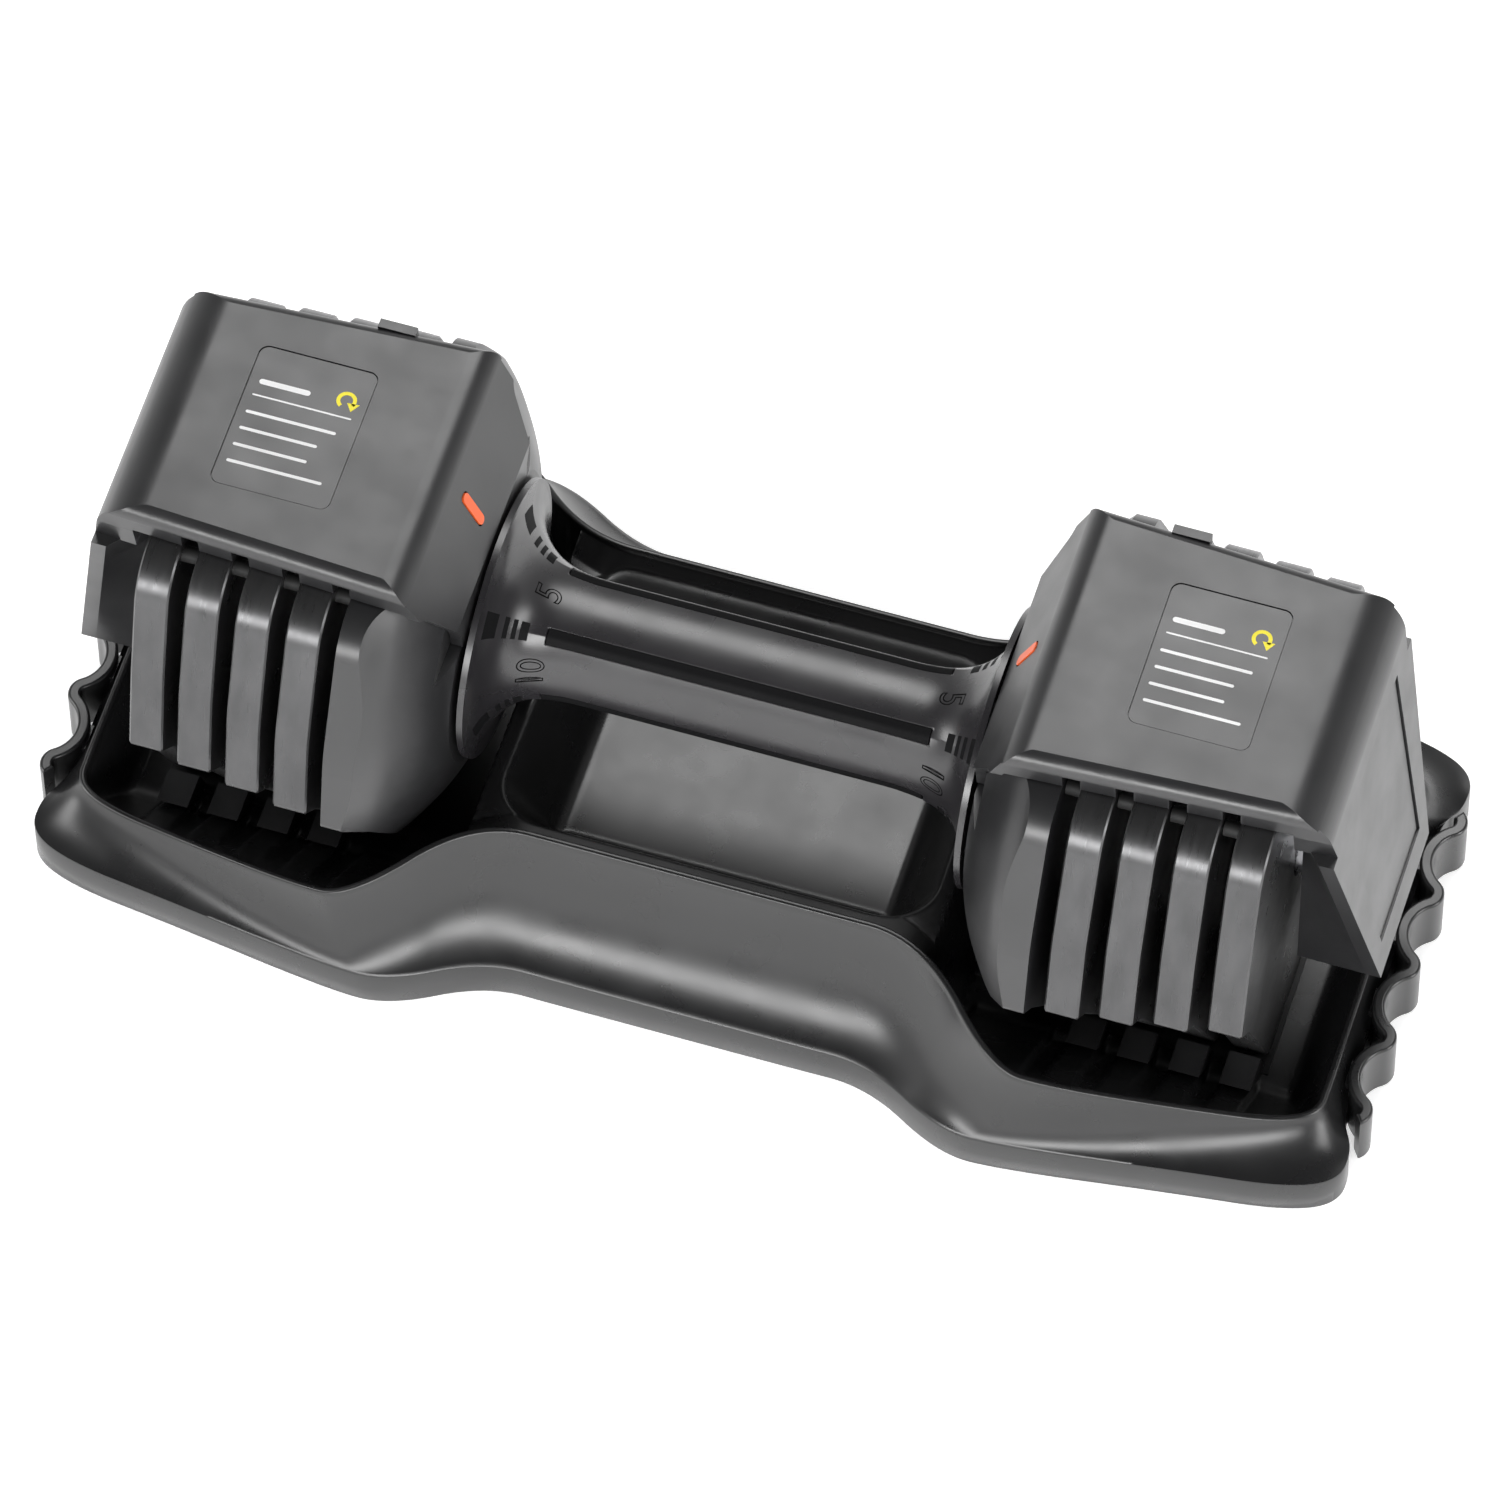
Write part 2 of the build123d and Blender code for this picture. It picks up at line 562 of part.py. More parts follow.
CRADLE_X = (104.0, PLATE_PITCH * PLATE_COUNT + FIRST_PLATE_X - GAP + 1.5)
CRADLE_BASE = 1.6
REST_RISE = 12.0               # height of a rest above the cavity's floor
REST_SHARE = 0.16              # share of a plate's sloping side beside its rest
REST_GAP = 2.5


def cradle():
    """Insert in the head cavity: a floor strip with one rest under every plate, front and back."""
    x0, x1 = CRADLE_X
    floor_z = CAVITY_FLOOR_Z
    body = block((x0, x1), (-CAVITY_HALF + 1, CAVITY_HALF - 1), (floor_z, floor_z + CRADLE_BASE))
    for s in (-1, 1):
        body -= rod_z(1.6, SCREW_XY[0], s * SCREW_XY[1], 0, floor_z + CRADLE_BASE - 0.3)
    for k in range(1, PLATE_COUNT + 1):
        low_x = plate_x(k) + 0.4
        high_x = plate_x(k) + PLATE_THICK - 0.4
        foot = plate_half_width(k) - 8.5
        for s in (-1, 1):
            under = FOOT_HALF + (foot - FOOT_HALF) * REST_SHARE + REST_GAP
            body += extrude_yz([(s * (FOOT_HALF + 1.5), floor_z), (s * (CAVITY_HALF - 0.6), floor_z),
                                (s * (CAVITY_HALF + REST_RISE - 0.6), floor_z + REST_RISE),
                                (s * under, floor_z + REST_RISE)], low_x, high_x)
    return body


FOOT_R = 7.0
FOOT_XY = ((150.0, 58.0), (52.0, 56.0))


def rubber_feet():
    return [rod_z(FOOT_R, sx * x, sy * y, 0, 3.0) for x, y in FOOT_XY for sx in (-1, 1) for sy in (-1, 1)]


GRIP_SCALLOPS = 4
SCALLOP_PITCH = 24.6
SCALLOP_R = 11.4               # radii of the band's centre line, round a scallop and round a peak
PEAK_R = 3.6
BAND_TIP_X = 197.6             # outer face of the band at its peaks
BAND_THICK = 3.6
BAND_Z = (1.2, 21.0)
BAND_ROUND = 0.9
BAND_TURN = math.asin(SCALLOP_PITCH / 2 / (SCALLOP_R + PEAK_R))
PEAK_X = BAND_TIP_X - BAND_THICK / 2
VALLEY_X = PEAK_X - (SCALLOP_R + PEAK_R) * (1 - math.cos(BAND_TURN))
PAD_HALF = 4.0
PAD_RISE = 0.4
BAND_SEAT_X = VALLEY_X - BAND_THICK / 2 - PAD_RISE    # flat on the tray that the pads sit on
BAND_HALF = (GRIP_SCALLOPS * SCALLOP_PITCH / 2 + (PEAK_R + BAND_THICK / 2) * math.sin(BAND_TURN))


def arc_about(x, y, radius, facing):
    """Level arc of 2 * BAND_TURN about (x, y), bulging towards +X or -X."""
    ends = [(x + facing * radius * math.cos(a), y + radius * math.sin(a), BAND_Z[0])
            for a in (-BAND_TURN, 0, BAND_TURN)]
    return ThreePointArc(*ends)


def band_face(shift):
    """One face of the band: arcs that meet in line, shifted outwards from the centre line."""
    curves = []
    for i in range(GRIP_SCALLOPS + 1):
        y = (i - GRIP_SCALLOPS / 2) * SCALLOP_PITCH
        curves.append(arc_about(PEAK_X - PEAK_R, y, PEAK_R + shift, 1))
        if i < GRIP_SCALLOPS:
            curves.append(arc_about(VALLEY_X + SCALLOP_R, y + SCALLOP_PITCH / 2, SCALLOP_R - shift, -1))
    return curves


def end_grip():
    """Finger grip on the tray's end: a thin wavy band with one scallop for each finger."""
    outer, inner = band_face(BAND_THICK / 2), band_face(-BAND_THICK / 2)
    ends = [Line(outer[0] @ 0, inner[0] @ 0), Line(outer[-1] @ 1, inner[-1] @ 1)]
    band = extrude(make_face(outer + inner + ends), amount=BAND_Z[1] - BAND_Z[0], dir=(0, 0, 1))
    band = fillet(band.faces().sort_by(Axis.Z)[-1].edges(), BAND_ROUND)
    for i in range(GRIP_SCALLOPS):
        y = (i - (GRIP_SCALLOPS - 1) / 2) * SCALLOP_PITCH
        band += block((BAND_SEAT_X, BAND_SEAT_X + BAND_THICK / 2), (y - PAD_HALF, y + PAD_HALF),
                      (BAND_Z[0], BAND_Z[1] - 3))
    return band


SCREW_XY = (136.0, 20.0)


def tray_screws():
    """Self-tapping screws that hold the cradles, from below."""
    parts = []
    for sx in (-1, 1):
        for sy in (-1, 1):
            x, y = sx * SCREW_XY[0], sy * SCREW_XY[1]
            parts.append(rod_z(1.6, x, y, 2.4, CAVITY_FLOOR_Z + CRADLE_BASE - 0.3) + rod_z(3.2, x, y, 1.2, 2.6))
    return parts


for name, side in SIDES.items():
    save(mirrored(cradle(), side), f"cradle_{name}")
    save(mirrored(end_grip(), side), f"end_grip_{name}")
save(group(rubber_feet()), "rubber_feet")
save(group(tray_screws()), "tray_screws")
save(tray_shell(), "tray_shell")
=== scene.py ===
"""Adjustable dumbbell on its tray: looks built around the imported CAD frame.  Metres."""
import bpy
import bmesh
import json
import math
from mathutils import Matrix, Vector


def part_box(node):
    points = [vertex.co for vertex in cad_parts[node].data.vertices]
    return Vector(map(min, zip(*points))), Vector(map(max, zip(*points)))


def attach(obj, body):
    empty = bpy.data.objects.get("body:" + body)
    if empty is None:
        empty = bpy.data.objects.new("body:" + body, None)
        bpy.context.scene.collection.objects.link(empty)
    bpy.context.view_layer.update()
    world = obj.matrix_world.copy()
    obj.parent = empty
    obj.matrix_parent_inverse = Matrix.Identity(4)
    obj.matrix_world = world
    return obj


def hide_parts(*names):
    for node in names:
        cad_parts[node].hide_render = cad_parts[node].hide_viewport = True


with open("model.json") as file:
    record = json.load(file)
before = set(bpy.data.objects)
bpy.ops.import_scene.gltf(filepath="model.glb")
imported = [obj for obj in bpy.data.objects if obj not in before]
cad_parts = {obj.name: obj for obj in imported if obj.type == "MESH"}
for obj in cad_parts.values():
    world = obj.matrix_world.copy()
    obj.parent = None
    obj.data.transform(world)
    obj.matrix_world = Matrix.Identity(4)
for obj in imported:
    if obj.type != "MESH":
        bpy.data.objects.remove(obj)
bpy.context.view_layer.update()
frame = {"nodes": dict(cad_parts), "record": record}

MM = 0.001
NODES = frame["nodes"]
SIDES = {"left": -1, "right": 1}


# ---- places and sizes from the frame ------------------------------------------------------

def low(node):
    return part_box(node)[0]


def high(node):
    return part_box(node)[1]


AXIS_Z = (low("core_rod").z + high("core_rod").z) / 2


# ---- materials ----------------------------------------------------------------------------

COAT_ROUGHNESS = 0.2
RAMP_SPAN = (0.3, 0.7)         # the stretch of a noise over which a value changes


def new_material(name, colour, roughness, metallic=0.0, coat=0.0, specular=0.5):
    """A principled material; constants sit on the shader's own sockets."""
    material = bpy.data.materials.new(name)
    material.use_nodes = True
    shader = material.node_tree.nodes["Principled BSDF"]
    shader.inputs["Base Color"].default_value = (*colour, 1)
    shader.inputs["Roughness"].default_value = roughness
    shader.inputs["Metallic"].default_value = metallic
    shader.inputs["Coat Weight"].default_value = coat
    shader.inputs["Coat Roughness"].default_value = COAT_ROUGHNESS
    shader.inputs["Specular IOR Level"].default_value = specular
    return material


def object_noise(tree, scale, detail, stretch=(1, 1, 1)):
    """Noise in the object's own coordinates, stretched along the axes."""
    where = tree.nodes.new("ShaderNodeTexCoord")
    mapping = tree.nodes.new("ShaderNodeMapping")
    mapping.inputs["Scale"].default_value = stretch
    noise = tree.nodes.new("ShaderNodeTexNoise")
    noise.inputs["Scale"].default_value = scale
    noise.inputs["Detail"].default_value = detail
    tree.links.new(where.outputs["Object"], mapping.inputs["Vector"])
    tree.links.new(mapping.outputs["Vector"], noise.inputs["Vector"])
    return noise


def vary(tree, noise, socket, low_value, high_value):
    """Lets a noise move a number or colour socket between two values."""
    ramp = tree.nodes.new("ShaderNodeValToRGB")
    for element, place, value in zip(ramp.color_ramp.elements, RAMP_SPAN, (low_value, high_value)):
        element.position = place
        element.color = (*value, 1) if isinstance(value, tuple) else (value, value, value, 1)
    tree.links.new(noise.outputs["Fac"], ramp.inputs["Fac"])
    tree.links.new(ramp.outputs["Color"], socket)


def add_bump(tree, noise, strength, distance):
    """Fine relief from a noise; the distance is its depth in metres."""
    bump = tree.nodes.new("ShaderNodeBump")
    bump.inputs["Strength"].default_value = strength
    bump.inputs["Distance"].default_value = distance
    tree.links.new(noise.outputs["Fac"], bump.inputs["Height"])
    tree.links.new(bump.outputs["Normal"], tree.nodes["Principled BSDF"].inputs["Normal"])


def moulded_plastic(name, colour, roughness, grain, coat=0.0, specular=0.5):
    """Satin moulded plastic: spark-eroded grain, slow drifts of tone and gloss."""
    material = new_material(name, colour, roughness, coat=coat, specular=specular)
    tree = material.node_tree
    shader = tree.nodes["Principled BSDF"]
    lighter = tuple(c * 1.12 + 0.001 for c in colour)
    darker = tuple(c * 0.9 for c in colour)
    tone = object_noise(tree, scale=35, detail=3)
    gloss = object_noise(tree, scale=60, detail=4)
    vary(tree, tone, shader.inputs["Base Color"], darker, lighter)
    vary(tree, gloss, shader.inputs["Roughness"], roughness - 0.03, roughness + 0.05)
    add_bump(tree, object_noise(tree, scale=2600, detail=2), strength=grain, distance=0.00004)
    return material


def plate_paint(name, colour):
    """Satin paint over pressed steel: fine vertical drawing lines and faint mottling."""
    material = new_material(name, colour, roughness=0.3, metallic=0.85)
    tree = material.node_tree
    shader = tree.nodes["Principled BSDF"]
    lighter = tuple(c * 1.14 for c in colour)
    darker = tuple(c * 0.86 for c in colour)
    mottling = object_noise(tree, scale=50, detail=4, stretch=(3, 1, 1))
    gloss = object_noise(tree, scale=90, detail=5, stretch=(12, 1, 1))
    lines = object_noise(tree, scale=700, detail=4, stretch=(1, 0.08, 0.08))
    vary(tree, mottling, shader.inputs["Base Color"], darker, lighter)
    vary(tree, gloss, shader.inputs["Roughness"], 0.26, 0.35)
    add_bump(tree, lines, strength=0.25, distance=0.00005)
    return material


def steel(name, colour, roughness):
    """Turned bare metal: gloss and fine marks in rings about the X axis."""
    material = new_material(name, colour, roughness, metallic=1.0)
    tree = material.node_tree
    shader = tree.nodes["Principled BSDF"]
    gloss = object_noise(tree, scale=400, detail=3, stretch=(8, 1, 1))
    marks = object_noise(tree, scale=900, detail=2, stretch=(6, 1, 1))
    vary(tree, gloss, shader.inputs["Roughness"], roughness - 0.06, roughness + 0.1)
    add_bump(tree, marks, strength=0.15, distance=0.00003)
    return material


# Each plastic's colour, roughness, grain, clear coat and specular level.
PLASTICS = {
    "housing_plastic": ((0.014, 0.014, 0.015), 0.33, 0.12, 0.0, 0.85),
    "tray_plastic": ((0.009, 0.009, 0.0095), 0.28, 0.03, 0.0, 0.75),
    "grip_plastic": ((0.018, 0.017, 0.019), 0.27, 0.02, 0.0, 0.9),
    "strip_plastic": ((0.006, 0.006, 0.0065), 0.6, 0.02, 0.0, 0.08),
    "marker_orange": ((0.9, 0.13, 0.025), 0.4, 0.1, 0.1, 0.5),
    "label_film": ((0.014, 0.014, 0.015), 0.31, 0.12, 0.0, 0.85),
    "disc_nylon": ((0.010, 0.010, 0.010), 0.5, 0.3, 0.0, 0.5),
    "rubber": ((0.012, 0.012, 0.012), 0.6, 0.5, 0.0, 0.5),
    "cradle_plastic": ((0.008, 0.008, 0.0085), 0.45, 0.2, 0.0, 0.5),
    # painted shade: near-black, barely reflective outlines stand in for the shade inside the engraved number
    # grooves
    "number_groove_shade": ((0.002, 0.002, 0.002), 0.6, 0.02, 0.0, 0.05),
    "print_white": ((0.8, 0.8, 0.8), 0.5, 0.05, 0.0, 0.5),
    "print_yellow": ((0.9, 0.78, 0.03), 0.5, 0.05, 0.0, 0.5),
}
MATERIALS = {name: moulded_plastic(name, *values) for name, values in PLASTICS.items()}
MATERIALS["plate_paint"] = plate_paint("plate_paint", (0.10, 0.10, 0.102))
MATERIALS["steel"] = steel("steel", (0.5, 0.5, 0.52), 0.3)
MATERIALS["bush_bronze"] = steel("bush_bronze", (0.45, 0.3, 0.13), 0.42)

# Nodes that look different from the other nodes of their slot.
OWN_FINISH = {"cradle_left": "cradle_plastic", "cradle_right": "cradle_plastic",
              "flange_ring_left": "grip_plastic", "flange_ring_right": "grip_plastic"}


def finish_cad_nodes():
    """Gives every carried-over node its own finish, or else its slot's."""
    slots = {s["node"]: s["material_slot"] for s in frame["record"]["subparts"]}
    for name, node in NODES.items():
        material = MATERIALS[OWN_FINISH.get(name, slots[name])]
        if not node.material_slots:
            node.data.materials.append(material)
        for slot in node.material_slots:
            slot.material = material


# ---- mesh helpers -------------------------------------------------------------------------

WELD = 1e-6                    # points closer than this become one
SLIVER = 1e-7                  # edges shorter than this are dissolved


def make_piece(name, verts, faces, body, slot, material=None, sharp_deg=35):
    """A mesh piece from metres, cleaned, shaded smooth by angle, riding on a body."""
    mesh = bpy.data.meshes.new(name)
    mesh.from_pydata([tuple(v) for v in verts], [], faces)
    work = bmesh.new()
    work.from_mesh(mesh)
    bmesh.ops.remove_doubles(work, verts=work.verts, dist=WELD)
    bmesh.ops.dissolve_degenerate(work, edges=work.edges, dist=SLIVER)
    bmesh.ops.recalc_face_normals(work, faces=work.faces)
    work.to_mesh(mesh)
    work.free()
    mesh.materials.append(MATERIALS[material or slot])
    piece = bpy.data.objects.new(name, mesh)
    bpy.context.scene.collection.objects.link(piece)
    mesh.shade_smooth()
    mesh.set_sharp_from_angle(angle=math.radians(sharp_deg))
    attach(piece, body)
    return piece


def ring_faces(rows, count):
    """Quads between successive closed rows of count points each."""
    faces = []
    for r in range(rows - 1):
        for c in range(count):
            d = (c + 1) % count
            faces.append((r * count + c, r * count + d, (r + 1) * count + d, (r + 1) * count + c))
    return faces


def mix(a, b, t):
    return a + (b - a) * t


def smoothstep(a, b, x):
    """0 before a, 1 after b, and smooth between them."""
    t = min(1, max(0, (x - a) / (b - a)))
    return t * t * (3 - 2 * t)


def soft_min(a, b, k):
    """The smaller of two values, rounded off where they are within k of each other."""
    h = max(k - abs(a - b), 0) / k
    return min(a, b) - h * h * k / 4


def soft_max(a, b, k):
    return -soft_min(-a, -b, k)


# ---- tray ---------------------------------------------------------------------------------
# In millimetres.  Control points of one quadrant, from the middle of the front to the middle
# of the end.  The outlines are the smooth curves that touch the middle of each control edge.
BASE_CONTROL = [(0, 72.8), (34, 72.8), (57, 72.6), (82, 87.2), (100, 87.0),
                (150, 79.8), (180, 76.2), (194.5, 69.5), (194.4, 57), (188.8, 51), (188.8, 0)]
RIM_CONTROL = [(0, 50.5, 52.3), (34, 50.5, 52.3), (66, 50.5, 52.3), (94, 79.5, 42.5),
               (112, 77.3, 37.5), (150, 68.2, 29.3), (174, 62.4, 25.4), (184.6, 56.0, 24.8),
               (184.8, 45, 24.8), (184.8, 34, 24.8), (184.8, 0, 24.8)]
OUTLINE_ROUNDS = 5

SKIRT_FOOT = 0.8
SKIRT_TOP = 14.7
SKIRT_ROWS = ((0.995, SKIRT_FOOT), (1, SKIRT_FOOT + 0.8), (1, 7.5), (1, SKIRT_TOP - 0.5))  # share, z
SPINE_HALF = 118.0             # underside and inside each close on a line this long, each way

SLOPE_STEPS = 22
SLOPE_HOLLOW = 0.62            # 0 is a straight slope, 1 a quarter of an ellipse
SLOPE_START = 0.012            # the ledge at the top of the skirt, as a share of the slope
RIM_ROUND = 0.5
LIP = 2.0                      # width of the rim
LIP_DROP = 0.55
LIP_ROWS = ((0.25, 0.12), (0.7, 0.0), (1.3, 0.0), (LIP - 0.25, 0.15), (LIP, LIP_DROP))     # inset, drop

INNER_STEPS = 84
INNER_CROWDING = 1.25          # above 1, the rows lie closer together near the rim
DECK = {"drop": 1.2, "slope": 0.55, "depth": 4.2}
WELL = {"half_x": 65.5, "half_y": 43.5, "corner": 17.0, "edge_z": 47.5, "floor_z": 16.5, "slope": 2.1}
CAVITY = {"inner_x": 75.0, "outer_x": 174.0, "floor_z": 6.2, "foot_z": 6.0, "offset": 38.0,
          "end_slope": 2.0, "divider_slope": 6.0}
BLEND = {"edge": 2.2, "wall": 4, "end": 6, "divider": 4, "well": 9}

REST_RISE = 2.2                # how far the rests stand out of the cavity's walls
REST_EDGE = (-0.2, 1.0)        # where a rest rises, from a plate's inner face
HOUSING_REST_X = 78            # where the rest under the inner housing starts
HOUSING_REST_LEVEL_X = 90      # a place on that rest's level part
HOUSING_REST_EDGE = 1.2
PLATE_COUNT = 4
PLATE_PITCH = 15.0
PLATE_THICK = 9.9
PLATE_GAP = PLATE_PITCH - PLATE_THICK
PLATE_TAB = 2.2                # each plate's tab reaches this far past its inner face
FIRST_PLATE_X = low("plate_right_1").x / MM + PLATE_TAB


def full_loop(quadrant):
    """Mirrors a quadrant of control points about both axes into one closed loop."""
    back = quadrant[-2::-1]
    loop = [(x, -y, *z) for x, y, *z in quadrant]
    loop += [(x, y, *z) for x, y, *z in back]
    loop += [(-x, y, *z) for x, y, *z in quadrant[1:]]
    loop += [(-x, -y, *z) for x, y, *z in back[:-1]]
    return loop


def smooth_outline(quadrant):
    """Chaikin's corner cutting of the whole loop: a smooth closed curve of many points."""
    loop = full_loop(quadrant)
    for _ in range(OUTLINE_ROUNDS):
        cut = []
        for p, q in zip(loop, loop[1:] + loop[:1]):
            cut += [tuple(mix(a, b, share) for a, b in zip(p, q)) for share in (0.25, 0.75)]
        loop = cut
    return loop


def rest_mask(x):
    """1 on the rests under the plates and the inner housing, 0 in the grooves between."""
    x = abs(x)
    housing_end = FIRST_PLATE_X - PLATE_GAP
    if x < HOUSING_REST_LEVEL_X:
        return smoothstep(0, 1, x - HOUSING_REST_X)
    if x < housing_end:
        return 1 - smoothstep(-HOUSING_REST_EDGE, 0, x - housing_end)
    if x > housing_end + PLATE_PITCH * PLATE_COUNT:
        return 0.0
    across = (x - FIRST_PLATE_X) % PLATE_PITCH
    return smoothstep(*REST_EDGE, across) * smoothstep(*REST_EDGE, PLATE_THICK - across)


def tray_inner_height(x, y, rim_z, inset):
    """Height of the tray's inside at a point inset from the rim."""
    deck = rim_z - DECK["drop"] - min(inset * DECK["slope"], DECK["depth"])
    qx = abs(x) - (WELL["half_x"] - WELL["corner"])
    qy = abs(y) - (WELL["half_y"] - WELL["corner"])
    edge = math.hypot(max(qx, 0), max(qy, 0)) + min(max(qx, qy), 0) - WELL["corner"]
    well = soft_max(WELL["floor_z"], WELL["edge_z"] + edge * WELL["slope"], BLEND["well"])
    wall = abs(y) - CAVITY["offset"] + REST_RISE * rest_mask(x)
    end = (abs(x) - CAVITY["outer_x"]) * CAVITY["end_slope"] + CAVITY["foot_z"]
    divider = (CAVITY["inner_x"] - abs(x)) * CAVITY["divider_slope"] + CAVITY["foot_z"]
    cavity = soft_max(CAVITY["floor_z"], wall, BLEND["wall"])
    cavity = soft_max(cavity, end, BLEND["end"])
    cavity = soft_max(cavity, divider, BLEND["divider"])
    return soft_min(soft_min(deck, well, BLEND["edge"]), cavity, BLEND["edge"])


def inward_normals(loop):
    """Unit vectors that point into a closed loop, one at each point."""
    normals = []
    for behind, ahead in zip(loop[-1:] + loop[:-1], loop[1:] + loop[:1]):
        tangent = Vector((ahead[0] - behind[0], ahead[1] - behind[1])).normalized()
        normals.append(Vector((-tangent.y, tangent.x)))
    return normals


def underside_and_skirt(base, spine):
    """Rows from the middle line of the underside out to the foot and up the skirt."""
    rows = [[(x, y, SKIRT_FOOT) for x, y in spine],
            [(mix(s[0], p[0], 0.5), mix(s[1], p[1], 0.5), SKIRT_FOOT) for s, p in zip(spine, base)]]
    rows += [[(p[0] * share, p[1] * share, z) for p in base] for share, z in SKIRT_ROWS]
    return rows


def hollow_slope(base, rim):
    """Rows up the hollow outer slope, from the top of the skirt to the rim."""
    rows = []
    for i in range(SLOPE_STEPS + 1):
        u = i / SLOPE_STEPS
        inward = mix(SLOPE_START, 1, mix(u, math.sin(u * math.pi / 2), SLOPE_HOLLOW))
        upward = mix(u, 1 - math.cos(u * math.pi / 2), SLOPE_HOLLOW)
        rows.append([(mix(p[0], q[0], inward), mix(p[1], q[1], inward),
                      mix(SKIRT_TOP, q[2] - RIM_ROUND, upward)) for p, q in zip(base, rim)])
    return rows


def rim_and_inside(rim, spine):
    """Rows over the rounded rim and across the inside to its middle line."""
    normals = inward_normals(rim)
    rows = [[(q[0] + n.x * depth, q[1] + n.y * depth, q[2] - drop) for q, n in zip(rim, normals)]
            for depth, drop in LIP_ROWS]
    for j in range(1, INNER_STEPS + 1):
        share = (j / INNER_STEPS) ** INNER_CROWDING
        points = []
        for q, n, s in zip(rim, normals, spine):
            x0, y0 = q[0] + n.x * LIP, q[1] + n.y * LIP
            x, y = mix(x0, s[0], share), mix(y0, s[1], share)
            inset = share * math.hypot(s[0] - x0, s[1] - y0)
            z = tray_inner_height(x, y, q[2], inset)
            points.append((x, y, min(z, q[2] - LIP_DROP)))
        rows.append(points)
    return rows


def tray():
    """The tray's moulding as one closed mesh."""
    base = smooth_outline([(x, y, 0) for x, y in BASE_CONTROL])
    rim = smooth_outline(RIM_CONTROL)
    spine = [(max(-SPINE_HALF, min(SPINE_HALF, p[0])), 0) for p in base]
    rows = underside_and_skirt(base, spine) + hollow_slope(base, rim) + rim_and_inside(rim, spine)
    verts = [Vector(p) * MM for row in rows for p in row]
    faces = ring_faces(len(rows), len(base))
    piece = make_piece("tray_body", verts, faces, "tray", "tray_plastic", sharp_deg=50)
    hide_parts("tray_shell")


# ---- grip ---------------------------------------------------------------------------------
# In millimetres and radians.
FACETS = 5
FACET_STEP = 2 * math.pi / FACETS
FACET_DEPTH = 0.42             # 0 is round, 1 a true pentagon
FACET_FADE = (50, 69)          # |x| over which the facets die out
GRIP_R = 17.5
GRIP_END_X = high("grip").x / MM
FLANGE_R = (high("flange_ring_right").z - AXIS_Z) / MM
FLARE_START_X = 44.0
FLARE_POWER = 2.6
FLARE_MARGIN = 1.2             # the flare ends this far inside the flange's edge
SKIN_DROP = 0.25
GRIP_COLUMNS = 360
STRAIGHT_STEP = 2.0
FLARE_STEP = 0.4
END_CLEARANCE = 0.02           # no other row lies this close to the grip's end

STRIP_HALF_X = high("grip_strips").x / MM
STRIP_HALF_ANGLE = math.radians(7.0)
STRIP_ACROSS = 6
STRIP_STEP = 4.0
STRIP_ROOT = 2.2
STRIP_LIFT = -0.12
TOOTH_LIFT = 0.08
TEETH = ((5.2, 2.2), (8.3, 1.1), (10.4, 1.1), (13.0, 2.4))     # start beyond the strip, width
GROOVE_HALF_ANGLE = math.radians(7.4)
GROOVE_SIDE = 0.02
GROOVE_DEPTH = 1.1
GROOVE_END_X = STRIP_HALF_X + 0.4

NUMBER_X = 58.6
NUMBER_SIZE = 10.2
NUMBER_PEN = 0.2
NUMBER_FLATTEN = 0.5
NUMBER_SINK = 0.02
SETTING_STEP = 5


def flare_radius(x):
    """Grip radius at |x|: straight in the middle, then a trumpet flare to the flange."""
    x = abs(x)
    if x <= FLARE_START_X:
        return GRIP_R
    t = (x - FLARE_START_X) / (GRIP_END_X - FLARE_START_X)
    rise = 1 - math.sqrt(max(0, 1 - t ** FLARE_POWER))
    return GRIP_R + (FLANGE_R - FLARE_MARGIN - GRIP_R) * rise


def facet_angle(theta):
    """Angle from the middle of the nearest facet; one facet faces straight up."""
    from_top = (theta - math.pi / 2) / FACET_STEP
    return (from_top - round(from_top)) * FACET_STEP


def grip_radius(x, theta):
    """Radius with five gentle facets that die out on the flare."""
    phi = facet_angle(theta)
    strength = FACET_DEPTH * (1 - smoothstep(*FACET_FADE, abs(x)))
    return flare_radius(x) * (1 + strength * (1 / math.cos(phi) - 1)) - SKIN_DROP


def grip_point(x, theta, radius):
    """Point at angle theta, measured from the back (+Y) up over the top."""
    return Vector((x, radius * math.cos(theta), radius * math.sin(theta) + AXIS_Z / MM)) * MM


def grip_row(x):
    """One ring of the grip's skin, sunk where a strip lies in it."""
    points = []
    for c in range(GRIP_COLUMNS):
        theta = 2 * math.pi * c / GRIP_COLUMNS
        radius = grip_radius(x, theta)
        from_seam = FACET_STEP / 2 - abs(facet_angle(theta))
        if abs(x) < GROOVE_END_X:
            radius -= GROOVE_DEPTH * smoothstep(GROOVE_HALF_ANGLE, GROOVE_HALF_ANGLE - GROOVE_SIDE, from_seam)
        points.append(grip_point(x, theta, radius))
    return points


def bore_row(x):
    bore = high("selector_tube").z / MM - AXIS_Z / MM
    return [grip_point(x, 2 * math.pi * c / GRIP_COLUMNS, bore) for c in range(GRIP_COLUMNS)]


